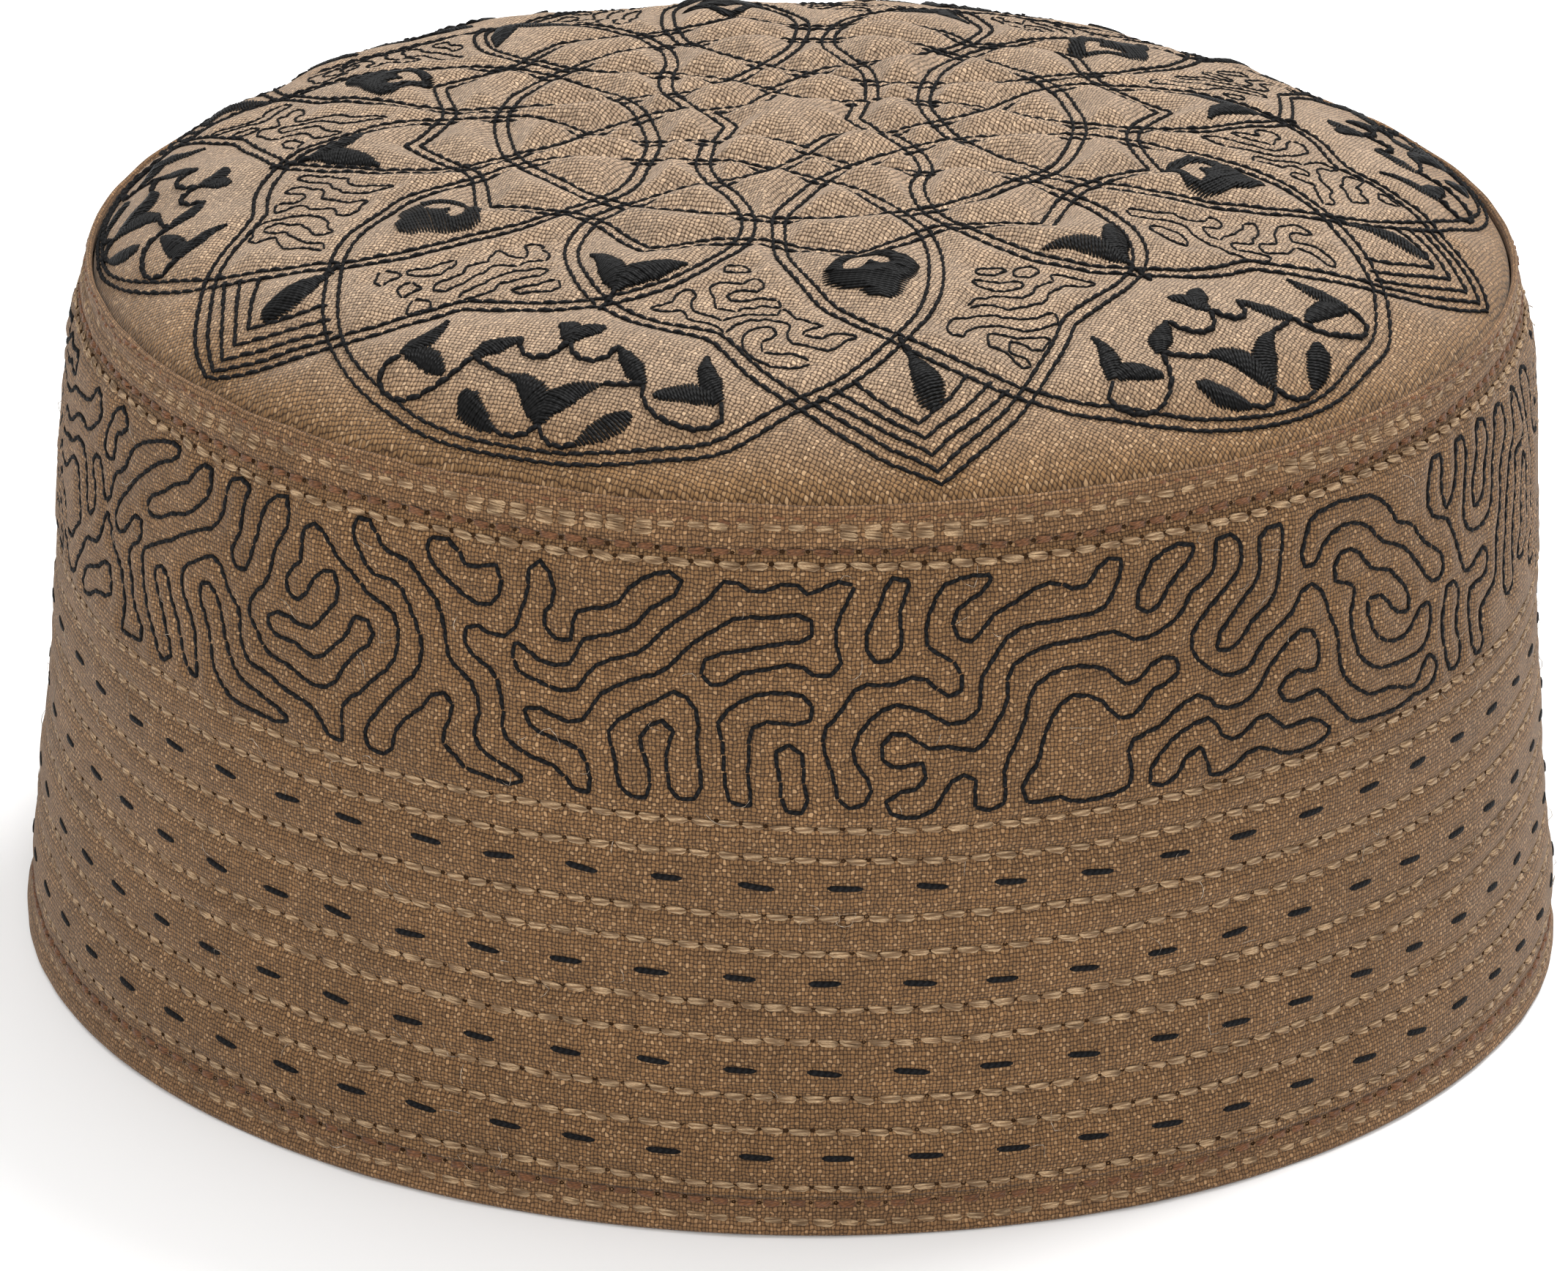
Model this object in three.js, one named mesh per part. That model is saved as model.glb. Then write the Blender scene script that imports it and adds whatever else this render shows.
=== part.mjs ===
// Skullcap with a domed, quilted crown and a tall side that flares out to the rim.
// Millimetres, +Z up. The origin is the centre of the rim, on the surface that the cap
// stands on, and the front of the cap faces -Y.
import * as THREE from 'three';
import { mergeVertices } from 'three/addons/utils/BufferGeometryUtils.js';

// Main sizes
const RIM_RADIUS = 90;
const SIDE_HEIGHT = 81.9;
const CROWN_RISE = 13;
const CROWN_SHOULDER = 4;

// Cloth thicknesses: the side and the crown are padded double cloth, the strips are folded cloth
const SIDE_WALL = 3;
const CROWN_WALL = 3;
const STRIP_WALL = 1.1;

// Widths of the folded strips at the crown seam and at the hem
const SEAM_STRIP_WIDTH = 4.4;
const HEM_STRIP_WIDTH = 4.5;

// Space between neighbouring pieces, and the rounding of a folded edge
const CLEARANCE = 0.3;
const EDGE_ROUNDING = 0.4;

// How far the stitch rows pull the side in, and the quilted lines pull the crown down
const ROW_SINK = 0.45;
const QUILT_SINK = 0.8;
const QUILT_HALF_WIDTH = 2.4;

// Hand-made irregularity: a share that widens the cap from side to side and shortens it from
// front to back, at the rim and at the crown, and a crown seam that is higher towards
// LEAN_DIRECTION
const RIM_OVAL = 0.012;
const CROWN_OVAL = -0.03;
const LEAN_HEIGHT = 0.6;
const LEAN_DIRECTION = THREE.MathUtils.degToRad(11);

// Facets: six-fold, so that every repeat of the crown's rosette is alike
const SEGMENTS = 72;
const CROWN_RINGS = 24;
const UNDERSIDE_RINGS = 5;
const INNER_WALL_STEPS = 5;

// Outer face of the side: heights as shares of SIDE_HEIGHT, radii as shares of RIM_RADIUS
const SIDE_SECTIONS = [
  { height: 0.00, radius: 1.0000 },
  { height: 0.08, radius: 0.9973 },
  { height: 0.20, radius: 0.9849 },
  { height: 0.40, radius: 0.9731 },
  { height: 0.60, radius: 0.9663 },
  { height: 0.80, radius: 0.9600 },
  { height: 0.93, radius: 0.9486 },
  { height: 1.00, radius: 0.9304 },
];

// Stitch rows of the side that lie between the strips: heights as shares of SIDE_HEIGHT
const STITCH_ROWS = [
  { name: 'row under the rust thread', height: 0.9304 },
  { name: 'row under the winding quilting', height: 0.5775 },
  { name: 'upper dashes, above', height: 0.5311 },
  { name: 'upper dashes, below', height: 0.4505 },
  { name: 'second dashes, above', height: 0.4017 },
  { name: 'second dashes, below', height: 0.3223 },
  { name: 'third dashes, above', height: 0.2759 },
  { name: 'third dashes, below', height: 0.1954 },
  { name: 'lower dashes, above', height: 0.1490 },
  { name: 'lower dashes, below', height: 0.0696 },
];

// The crown's rosette: six crossing circles, sizes as shares of the crown's radius
const ROSETTE = {
  circles: 6,
  radius: 0.402,
  centre: 0.603,
  firstAngle: THREE.MathUtils.degToRad(10),
  shiftX: -0.0149,
  shiftY: 0.0369,
};

const CLOTH = { color: 0x8a6a47, roughness: 0.95, metalness: 0 };
const CROWN_CLOTH = { color: 0x9c7c55, roughness: 0.95, metalness: 0 };
const STRIP_CLOTH = { color: 0x7f5d3d, roughness: 0.95, metalness: 0 };

const sideCurve = new THREE.CubicInterpolant(
  SIDE_SECTIONS.map((section) => section.height * SIDE_HEIGHT),
  SIDE_SECTIONS.map((section) => section.radius * RIM_RADIUS),
  1,
);

// Outer radius of the side at a height above the rim
function sideRadius(height) {
  return sideCurve.evaluate(height)[0];
}

const STRIP_SEAT = STRIP_WALL + CLEARANCE;
const SEAM_STRIP_FOOT = SIDE_HEIGHT - SEAM_STRIP_WIDTH;
const CROWN_RADIUS = sideRadius(SIDE_HEIGHT) - STRIP_SEAT;
const BAND_TOP = SIDE_HEIGHT - CROWN_WALL - CLEARANCE;
const BAND_FOOT = STRIP_WALL + CLEARANCE;

// Side wall between the strips, with a rebate for each strip and a rib between stitch rows
function bandProfile() {
  const ribFoot = HEM_STRIP_WIDTH + CLEARANCE;
  const ribTop = SEAM_STRIP_FOOT - CLEARANCE;
  const heights = STITCH_ROWS.map((row) => row.height * SIDE_HEIGHT)
    .filter((height) => height > ribFoot && height < ribTop)
    .sort((low, high) => low - high);
  const points = [
    [sideRadius(BAND_FOOT) - STRIP_SEAT, BAND_FOOT],
    [sideRadius(ribFoot) - STRIP_SEAT, ribFoot],
    [sideRadius(ribFoot), ribFoot],
  ];
  heights.forEach((height, row) => {
    points.push([sideRadius(height) - ROW_SINK, height]);
    const next = row + 1 < heights.length ? heights[row + 1] : ribTop;
    const span = next - height;
    const crests = span > SIDE_HEIGHT / 10 ? [0.12, 0.37, 0.63, 0.88] : [0.5];
    crests.forEach((share) => {
      const crest = height + share * span;
      points.push([sideRadius(crest), crest]);
    });
  });
  points.push([sideRadius(ribTop), ribTop]);
  points.push([sideRadius(ribTop) - STRIP_SEAT, ribTop]);
  points.push([sideRadius(BAND_TOP) - STRIP_SEAT, BAND_TOP]);
  for (let step = INNER_WALL_STEPS; step >= 0; step -= 1) {
    const height = BAND_FOOT + (BAND_TOP - BAND_FOOT) * (step / INNER_WALL_STEPS);
    points.push([sideRadius(height) - SIDE_WALL, height]);
  }
  return points;
}

// Folded strip over the crown seam: its upper fold is the lip round the crown
function seamStripProfile() {
  const foot = SEAM_STRIP_FOOT;
  const middle = foot + SEAM_STRIP_WIDTH / 2;
  const top = SIDE_HEIGHT;
  return [
    [sideRadius(foot) - STRIP_WALL, foot],
    [sideRadius(foot), foot],
    [sideRadius(middle) - ROW_SINK / 2, middle],
    [sideRadius(top), top - EDGE_ROUNDING],
    [sideRadius(top) - EDGE_ROUNDING, top],
    [sideRadius(top) - STRIP_WALL, top],
    [sideRadius(middle) - STRIP_WALL, middle],
  ];
}

// Folded hem: an outer leg, and a foot under the wall that the cap stands on
function hemStripProfile() {
  const top = HEM_STRIP_WIDTH;
  const row = HEM_STRIP_WIDTH * 0.4;
  return [
    [sideRadius(0) - SIDE_WALL, 0],
    [sideRadius(0) - EDGE_ROUNDING, 0],
    [sideRadius(EDGE_ROUNDING), EDGE_ROUNDING],
    [sideRadius(row) - ROW_SINK / 2, row],
    [sideRadius(top), top],
    [sideRadius(top) - STRIP_WALL, top],
    [sideRadius(STRIP_WALL) - STRIP_WALL, STRIP_WALL],
    [sideRadius(STRIP_WALL) - SIDE_WALL, STRIP_WALL],
  ];
}

// Height of the crown's upper face, before its quilting
function crownHeight(radius) {
  return SIDE_HEIGHT + CROWN_RISE * (1 - (radius / CROWN_RADIUS) ** CROWN_SHOULDER);
}

function crownProfile() {
  const points = [];
  for (let ring = 0; ring <= UNDERSIDE_RINGS; ring += 1) {
    const radius = (CROWN_RADIUS - EDGE_ROUNDING) * (ring / UNDERSIDE_RINGS);
    points.push([radius, crownHeight(radius) - CROWN_WALL]);
  }
  points.push([CROWN_RADIUS, SIDE_HEIGHT - CROWN_WALL + EDGE_ROUNDING]);
  points.push([CROWN_RADIUS, SIDE_HEIGHT - EDGE_ROUNDING]);
  for (let ring = CROWN_RINGS; ring >= 0; ring -= 1) {
    const radius = (CROWN_RADIUS - EDGE_ROUNDING) * (ring / CROWN_RINGS);
    points.push([radius, crownHeight(radius)]);
  }
  return points;
}

// How far the rosette's stitch lines pull the crown down at a point
function quiltDepth(x, y) {
  let nearest = Infinity;
  for (let circle = 0; circle < ROSETTE.circles; circle += 1) {
    const angle = ROSETTE.firstAngle + (circle * 2 * Math.PI) / ROSETTE.circles;
    const centreX = CROWN_RADIUS * (ROSETTE.shiftX + ROSETTE.centre * Math.cos(angle));
    const centreY = CROWN_RADIUS * (ROSETTE.shiftY + ROSETTE.centre * Math.sin(angle));
    const away = Math.hypot(x - centreX, y - centreY) - ROSETTE.radius * CROWN_RADIUS;
    nearest = Math.min(nearest, Math.abs(away));
  }
  return QUILT_SINK * Math.exp(-((nearest / QUILT_HALF_WIDTH) ** 2));
}

// A ring or dome turned from a profile of [radius, height] points, about +Z
function turned(profile) {
  const points = [...profile, profile[0]].map(([radius, height]) => new THREE.Vector2(radius, height));
  const onAxis = profile[0][0] === 0;
  const lathe = new THREE.LatheGeometry(onAxis ? points.slice(0, -1) : points, SEGMENTS);
  lathe.deleteAttribute('normal');
  lathe.deleteAttribute('uv');
  lathe.rotateX(Math.PI / 2);
  return mergeVertices(lathe, 1e-4);
}

// Moves each vertex of a geometry by a function of its place
function moved(geometry, place) {
  const position = geometry.attributes.position;
  const point = new THREE.Vector3();
  for (let index = 0; index < position.count; index += 1) {
    point.fromBufferAttribute(position, index);
    place(point);
    position.setXYZ(index, point.x, point.y, point.z);
  }
  return geometry;
}

function quilted(geometry) {
  return moved(geometry, (point) => {
    const upperFace = point.z > crownHeight(Math.hypot(point.x, point.y)) - CROWN_WALL / 2;
    if (upperFace) point.z -= quiltDepth(point.x, point.y);
  });
}

// The cap's lean and its slightly oval plan, the same for every piece
function handMade(geometry) {
  const seamRadius = sideRadius(SIDE_HEIGHT);
  return moved(geometry, (point) => {
    const along = point.x * Math.cos(LEAN_DIRECTION) + point.y * Math.sin(LEAN_DIRECTION);
    const climb = Math.min(Math.max(point.z / SIDE_HEIGHT, 0), 1);
    const oval = RIM_OVAL + (CROWN_OVAL - RIM_OVAL) * climb;
    point.z += LEAN_HEIGHT * climb * (along / seamRadius);
    point.x *= 1 + oval;
    point.y *= 1 - oval;
  });
}

function piece(name, geometry, finish) {
  const shape = handMade(geometry);
  shape.computeVertexNormals();
  const mesh = new THREE.Mesh(shape, new THREE.MeshStandardMaterial(finish));
  mesh.name = name;
  return mesh;
}

const group = new THREE.Group();
group.add(piece('crown_panel', quilted(turned(crownProfile())), CROWN_CLOTH));
group.add(piece('seam_strip', turned(seamStripProfile()), STRIP_CLOTH));
group.add(piece('side_band', turned(bandProfile()), CLOTH));
group.add(piece('hem_strip', turned(hemStripProfile()), STRIP_CLOTH));

export default group;
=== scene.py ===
# A skullcap with an embroidered, quilted crown and a tall stitched side.
# Shapes are worked out in millimetres, with the rim's centre at the origin and the front at -Y,
# and become metres when a mesh is made.
import math
from functools import partial

import bpy
import numpy as np
from mathutils import Matrix, Vector
from mathutils.kdtree import KDTree


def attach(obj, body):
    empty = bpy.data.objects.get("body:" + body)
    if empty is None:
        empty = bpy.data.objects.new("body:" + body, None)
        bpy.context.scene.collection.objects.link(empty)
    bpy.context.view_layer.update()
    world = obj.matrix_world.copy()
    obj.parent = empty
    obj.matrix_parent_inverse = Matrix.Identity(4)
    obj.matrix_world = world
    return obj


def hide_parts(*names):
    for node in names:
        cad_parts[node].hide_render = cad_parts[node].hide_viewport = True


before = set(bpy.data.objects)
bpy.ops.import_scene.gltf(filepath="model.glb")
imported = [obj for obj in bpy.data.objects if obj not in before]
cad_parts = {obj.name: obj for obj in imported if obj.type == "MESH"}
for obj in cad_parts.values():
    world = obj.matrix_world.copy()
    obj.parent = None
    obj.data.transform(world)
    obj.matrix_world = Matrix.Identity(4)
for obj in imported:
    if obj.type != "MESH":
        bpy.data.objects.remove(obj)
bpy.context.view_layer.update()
MM = 0.001
random = np.random.default_rng(11)

# Main sizes, as in the CAD model
RIM_RADIUS = 90.0
SIDE_HEIGHT = 81.9
SIDE_WALL = 3.0
CROWN_WALL = 3.0
STRIP_WALL = 1.1
SEAM_STRIP_WIDTH = 4.4
HEM_STRIP_WIDTH = 4.5
CLEARANCE = 0.3
RIM_OVAL = 0.012
CROWN_OVAL = -0.03
LEAN_HEIGHT = 0.6
LEAN_DIRECTION = math.radians(11)
STRIP_SEAT = STRIP_WALL + CLEARANCE

# Outer face of the side: share of the side's height, share of the rim's radius
SIDE_SECTIONS = [
    (0.00, 1.0000),
    (0.08, 0.9973),
    (0.20, 0.9849),
    (0.40, 0.9731),
    (0.60, 0.9663),
    (0.80, 0.9600),
    (0.93, 0.9486),
    (1.00, 0.9304),
]

# The crown's dome. The cloth is fuller near its edge, and bulges a little to the left and the front.
CROWN_RISE = 13.2
CROWN_FULLNESS = 0.16
CROWN_SKEW = 1.3
LEFT_BULGE = 2.1
FRONT_BULGE = 2.5

# Stitch rows of the side: height as a share of the side's height
TAN_ROWS = {
    "seam": 0.9755,
    "below_rust": 0.9304,
    "under_maze": 0.5775,
    "dash_1_above": 0.5311,
    "dash_1_below": 0.4505,
    "dash_2_above": 0.4017,
    "dash_2_below": 0.3223,
    "dash_3_above": 0.2759,
    "dash_3_below": 0.1954,
    "dash_4_above": 0.1490,
    "hem_above": 0.0696,
    "hem": 0.0208,
}
RUST_ROWS = {"seam": 0.9472, "hem": 0.046}
# Height, stitches round the row, and where the row starts as a share of its pitch
DASH_ROWS = [(0.4957, 60, 0.59), (0.3590, 60, 0.455), (0.2344, 60, 0.435), (0.1148, 62, 0.617)]

# Winding band: its lowest and highest share of the side, the distance between its lines, the columns
# of its grid, and the shortest line kept, in steps
MAZE_LOW = 0.597
MAZE_HIGH = 0.917
MAZE_WAVELENGTH = 5.8
MAZE_COLUMNS = 1100
MAZE_SHORTEST = 46

# Stitch pitches of the rows, and the loose whipping over the seam
TAN_PITCH = 2.7
RUST_PITCH = 2.65
RUST_SEED = 50
WHIP_ROW = 0.9925
WHIP_PITCH = 1.9

# Relief of the side: how far stitches sink into the cloth, and how far each dent reaches
ROW_SINK = 0.56
ROW_REACH = 0.85
RUST_SINK = 0.6
RUST_REACH = 1.0
MAZE_SINK = 0.30
MAZE_REACH = 0.6
MAZE_PUFF = 0.25
MAZE_PUFF_REACH = 1.3

# Relief of the crown, whose padding gets flatter between two radii
CROWN_SINK = 0.6
CROWN_REACH = 0.9
CROWN_PUFF = 1.7
CROWN_PUFF_OUTSIDE = 0.55
CROWN_PUFF_REACH = 2.4
FULL_RADIUS = 28
FLAT_RADIUS = 58
EDGE_FADE = 5
ROLL_WIDTH = 1.4
ROLL_DEPTH = 0.9

# Points round each ring of the side, and the distance between points of the crown
AROUND = 640
SIDE_ROWS = 102
CROWN_STEP = 0.68
TINY = 1e-9


def smooth_table(table, at):
    """Smooth curve through rows of (place, value)."""
    place, value = np.array(table, float).T
    slope = np.gradient(value, place)
    at = np.clip(at, place[0], place[-1])
    row = np.clip(np.searchsorted(place, at, side="right") - 1, 0, len(place) - 2)
    span = place[row + 1] - place[row]
    t = (at - place[row]) / span
    start = (2 * t**3 - 3 * t**2 + 1) * value[row] + (t**3 - 2 * t**2 + t) * span * slope[row]
    end = (3 * t**2 - 2 * t**3) * value[row + 1] + (t**3 - t**2) * span * slope[row + 1]
    return start + end


def side_radius(height):
    return RIM_RADIUS * smooth_table(SIDE_SECTIONS, np.asarray(height, float) / SIDE_HEIGHT)


SEAM_RADIUS = float(side_radius(SIDE_HEIGHT))
CROWN_RADIUS = SEAM_RADIUS - 0.7
LIP_RADIUS = SEAM_RADIUS - 0.58
DOME_RADIUS = SEAM_RADIUS - 0.8
MIDDLE_RADIUS = float(side_radius(SIDE_HEIGHT / 2))
SIDE_TURN = math.tau * MIDDLE_RADIUS


def crown_height(places):
    """Height of the crown's smooth dome at places in plan."""
    x, y = np.asarray(places, float).T
    share = np.minimum(np.hypot(x, y) / DOME_RADIUS, 1.0)
    rise = CROWN_RISE * (1 - (1 - CROWN_FULLNESS) * share**4 - CROWN_FULLNESS * share**14)
    skew = CROWN_SKEW * x * (1 - share**2) / SEAM_RADIUS
    bulge = -(LEFT_BULGE * x + FRONT_BULGE * y) * share**2 * (1 - share**6) / SEAM_RADIUS
    return SIDE_HEIGHT + rise + skew + bulge


def hand_made(points):
    """The cap's lean and its slightly oval plan, which differs between the rim and the crown."""
    x, y, z = np.asarray(points, float).T
    climb = np.clip(z / SIDE_HEIGHT, 0, 1)
    oval = RIM_OVAL + (CROWN_OVAL - RIM_OVAL) * climb
    along = x * math.cos(LEAN_DIRECTION) + y * math.sin(LEAN_DIRECTION)
    lift = LEAN_HEIGHT * climb * along / SEAM_RADIUS
    return np.stack([x * (1 + oval), y * (1 - oval), z + lift], -1)


def waves(places, length, seed):
    """Soft seeded noise between about -1 and 1 at rows of coordinates, with waves of that length."""
    chance = np.random.default_rng(seed)
    places = np.asarray(places, float)
    total = np.zeros(len(places))
    count = 7
    for _ in range(count):
        direction = chance.normal(size=places.shape[1])
        direction /= np.linalg.norm(direction)
        step = math.tau / (length * chance.uniform(0.7, 1.5))
        total += np.sin(places @ direction * step + chance.uniform(0, math.tau))
    return total / math.sqrt(count)


def bell(away, reach):
    """A smooth hump, 1 high in its middle."""
    return np.exp(-((away / reach) ** 2))


# Lines in a plane

CURVE_STEP = 0.5
SHARPEST_BEND = math.radians(28)


def unit(ways):
    return ways / np.maximum(np.linalg.norm(ways, axis=1, keepdims=True), TINY)


def left_of(ways):
    return np.column_stack([-ways[:, 1], ways[:, 0]])


def on_circle(angles):
    return np.column_stack([np.cos(angles), np.sin(angles)])


def distance_along(line):
    return np.concatenate([[0], np.cumsum(np.linalg.norm(np.diff(line, axis=0), axis=1))])


def at_distances(at, along, line):
    return np.stack([np.interp(at, along, line[:, axis]) for axis in range(line.shape[1])], -1)


def smooth_line(at, along, line):
    return np.column_stack([smooth_table(list(zip(along, line[:, axis])), at) for axis in range(2)])


def resampled(points, step, closed=False):
    """The same line with points a step apart."""
    points = np.asarray(points, float)
    if closed:
        points = np.vstack([points, points[:1]])
    moved = np.linalg.norm(np.diff(points, axis=0), axis=1) > TINY
    points = points[np.concatenate([[True], moved])]
    along = distance_along(points)
    at = np.linspace(0, along[-1], max(2, int(round(along[-1] / step)) + 1))
    return at_distances(at[:-1] if closed else at, along, points)


def curve_through(points):
    """A smooth line through a few charted points."""
    points = np.asarray(points, float)
    along = distance_along(points)
    at = np.linspace(0, along[-1], max(3, int(along[-1] / (CURVE_STEP / 4))))
    return resampled(smooth_line(at, along, points), CURVE_STEP)


def beside(line, distance, closed=False):
    """A line at a distance to the left of another, with mitred corners."""
    ahead = np.roll(line, -1, 0) - line
    behind = line - np.roll(line, 1, 0)
    if not closed:
        ahead[-1] = behind[-1]
        behind[0] = ahead[0]
    together = left_of(unit(ahead)) + left_of(unit(behind))
    mitre = 2 / np.maximum((together**2).sum(1, keepdims=True), 0.5)
    return line + distance * together * mitre


def runs(line, closed=False):
    """The stretches of a line between its corners."""
    if closed:
        line = np.vstack([line, line[:1]])
    way = np.diff(line, axis=0)
    turn = way[:-1, 0] * way[1:, 1] - way[:-1, 1] * way[1:, 0]
    straight = (way[:-1] * way[1:]).sum(1)
    corners = np.nonzero(np.abs(np.arctan2(turn, straight)) > SHARPEST_BEND)[0] + 1
    edges = [0, *corners, len(line) - 1]
    return [line[a : b + 1] for a, b in zip(edges, edges[1:]) if b > a]


# The crown's embroidery, charted for one sixth and repeated.
# A chart gives (across, outward) from the rosette's centre along an axis. Tip axes and medallion
# axes take turns, 30 degrees apart.

SIXTHS = 6
SIXTH_TURNS = [sixth * math.tau / SIXTHS for sixth in range(SIXTHS)]
MEDALLION_ANGLE = math.radians(10)
TIP_ANGLE = math.radians(40)
STRAP_GAP = 1.45
PATTERN_RADIUS = 82.0
PATTERN_SCALE = 1.031
PATTERN_STRETCH = np.array([0.007, -0.027])
PATTERN_SHIFT = np.array([-1.5, 2.3])
PATTERN_BEND = np.array([-0.96, 2.65])
DRAWN_IN_FROM = 77.5
DRAWN_IN_LIMIT = 83.2

CIRCLE = {"outward": 48.4, "radius": 32.3}
CENTRE_CIRCLE = 33.0
STAR = {"point": 10.4, "notch": 6.9}
CUSPS = {"point": 43.4, "hollow": 39.2, "sharpness": 1.6}
POINTS_PER_CUSP = 44
# From the outer node on a medallion axis to the inner node on the next tip axis
LENS_SIDE = [
    (0.0, 57.6), (3.2, 54.6), (6.0, 50.5), (7.9, 46.0), (8.5, 41.5), (8.2, 37.0), (7.2, 32.5),
    (5.2, 28.3), (2.6, 25.4), (0.0, 23.4), (-2.4, 20.2), (-4.2, 16.2), (-5.2, 13.2), (-6.0, 10.4),
]
# Ogee petal, half: tip to kink, then kink to the node on the medallion axis
PETAL_SIDE = [(0.0, 81.4), (6.4, 76.8), (12.4, 70.9), (16.2, 65.3), (18.7, 60.2)]
PETAL_SHOULDER = [(18.7, 60.2), (21.6, 58.0), (25.4, 54.6), (28.8, 49.9)]
TIP_LINES = [
    [(0.0, 78.8), (5.2, 75.0), (9.9, 70.9)],
    [(0.0, 77.0), (4.4, 73.7), (8.2, 70.0)],
    [(0.0, 75.2), (3.4, 72.3), (6.0, 69.0)],
]
# Where the winding fill lies, on one side of a tip axis
FILL_REGION = [
    (12.9, 43.2), (16.8, 47.2), (20.2, 49.4), (24.8, 51.4), (22.4, 53.7), (19.0, 57.6), (17.2, 61.0),
    (15.6, 64.4), (12.9, 68.4), (10.4, 66.3), (6.8, 63.9), (3.6, 61.6), (7.4, 58.6), (9.1, 55.6),
    (10.5, 52.0), (11.5, 48.6),
]

# The heart below each inner cusp, with its hole
HEART = [
    (0.0, 44.2), (1.6, 44.7), (3.1, 46.2), (5.1, 47.3), (5.4, 49.0), (4.4, 51.4), (3.0, 53.2), (2.2, 54.9),
    (0.8, 55.7), (-1.2, 54.9), (-2.2, 53.0), (-4.0, 52.2), (-5.3, 50.7), (-4.8, 48.8), (-3.0, 47.2),
    (-1.6, 45.2),
]
HEART_HOLE = [
    (-0.3, 45.9), (1.2, 46.8), (2.4, 48.1), (2.3, 49.4), (1.3, 49.5), (0.3, 48.3), (-0.6, 49.3),
    (-1.5, 49.9), (-2.8, 49.7), (-2.6, 48.4), (-1.6, 47.2),
]

# Satin leaves: rows of (across, outward, half width) along each leaf
TIP_LEAVES = [
    [(0.7, 64.6, 0.3), (0.9, 66.8, 0.6), (1.2, 69.2, 1.3), (1.4, 71.3, 1.55),
     (1.55, 72.9, 1.2), (1.65, 73.8, 0.4)],
]
TIP_STEMS = [[(0.3, 63.2), (0.5, 64.2), (0.8, 65.6)]]
MEDALLION_LEAVES = [
    [(-4.9, 45.3, 0.12), (-3.0, 46.6, 0.7), (-1.2, 48.6, 1.3), (0.1, 50.6, 1.25), (0.5, 52.4, 0.4)],
    [(5.9, 44.6, 0.12), (4.1, 46.3, 0.8), (2.4, 48.4, 1.35), (1.0, 50.6, 1.2), (0.6, 52.4, 0.4)],
    [(-2.1, 62.2, 0.3), (-1.1, 62.7, 0.95), (0.1, 63.8, 1.2), (0.4, 65.4, 0.4)],
    [(3.0, 61.9, 0.3), (2.0, 62.5, 1.0), (0.9, 63.8, 1.1), (0.5, 65.4, 0.4)],
    [(-5.2, 65.2, 0.12), (-6.5, 66.4, 0.75), (-8.0, 67.8, 1.1), (-9.3, 69.4, 0.4)],
    [(5.5, 65.0, 0.12), (6.7, 66.3, 0.8), (8.1, 67.9, 1.15), (9.4, 69.5, 0.4)],
    [(-4.9, 70.8, 0.12), (-3.0, 71.2, 0.8), (-1.2, 72.6, 1.4), (0.0, 74.4, 1.2), (0.3, 76.1, 0.35)],
    [(5.4, 70.6, 0.12), (3.5, 71.2, 0.75), (1.8, 72.6, 1.3), (0.7, 74.4, 1.15), (0.3, 76.1, 0.35)],
    [(-8.6, 73.6, 0.4), (-7.6, 74.7, 1.15), (-6.0, 76.0, 0.95), (-4.2, 77.2, 0.3)],
    [(9.2, 73.4, 0.4), (8.2, 74.6, 1.1), (6.6, 76.1, 1.0), (5.0, 77.4, 0.3)],
    [(-14.3, 63.5, 0.12), (-14.7, 65.6, 0.65), (-15.7, 67.8, 1.15), (-16.9, 69.6, 0.6)],
    [(-11.6, 71.6, 0.3), (-13.2, 70.5, 0.9), (-14.8, 69.7, 1.1), (-16.8, 69.4, 0.7)],
    [(14.6, 63.2, 0.12), (15.1, 65.4, 0.7), (16.3, 67.6, 1.2), (17.7, 69.4, 0.6)],
    [(10.8, 70.6, 0.3), (12.6, 69.9, 0.85), (14.6, 69.3, 1.15), (17.2, 69.0, 0.8)],
]
MEDALLION_STEMS = [
    [(0.5, 52.2), (0.5, 54.8), (0.3, 57.2)],
    [(0.4, 65.6), (-0.9, 67.6), (-3.0, 68.1), (-4.7, 67.0), (-5.2, 65.4)],
    [(0.5, 65.6), (1.8, 67.5), (3.6, 67.8), (5.0, 66.8), (5.5, 65.2)],
    [(-9.3, 69.4), (-7.2, 70.3), (-4.9, 70.8)],
    [(9.4, 69.5), (7.6, 70.3), (5.4, 70.6)],
    [(0.3, 76.1), (-0.9, 77.4), (-2.6, 77.7), (-4.2, 77.2)],
    [(0.3, 76.1), (1.6, 77.6), (3.3, 78.0), (5.0, 77.4)],
    [(-17.3, 69.7), (-18.8, 71.2), (-18.2, 73.1), (-15.6, 74.0), (-12.6, 73.4), (-10.4, 71.6),
     (-9.3, 69.5)],
    [(17.9, 69.4), (18.8, 71.0), (17.4, 72.6), (14.4, 73.2), (11.4, 72.6), (9.8, 71.2),
     (9.4, 69.6)],
]

# Winding fill: the grid's step, the distance between lines, and the shortest line kept, in steps
FILL_STEP = 0.3
FILL_WAVELENGTH = 3.7
FILL_LEVEL = 0.06
FILL_SHORTEST = 34

# Stitches of the crown, and the threads that fill its leaves and hearts
STRAP_STITCH = {"length": 1.7, "radius": 0.25, "slant": 0.09}
FILL_STITCH = {"length": 1.05, "radius": 0.17, "slant": 0.03}
STEM_STITCH = {"length": 1.5, "radius": 0.33, "slant": 0.12}
SHORTEST_RUN = 0.4
SATIN_FULLNESS = 1.3
SATIN_SPACING = 0.36
HEART_SLANT = math.radians(24)


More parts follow.
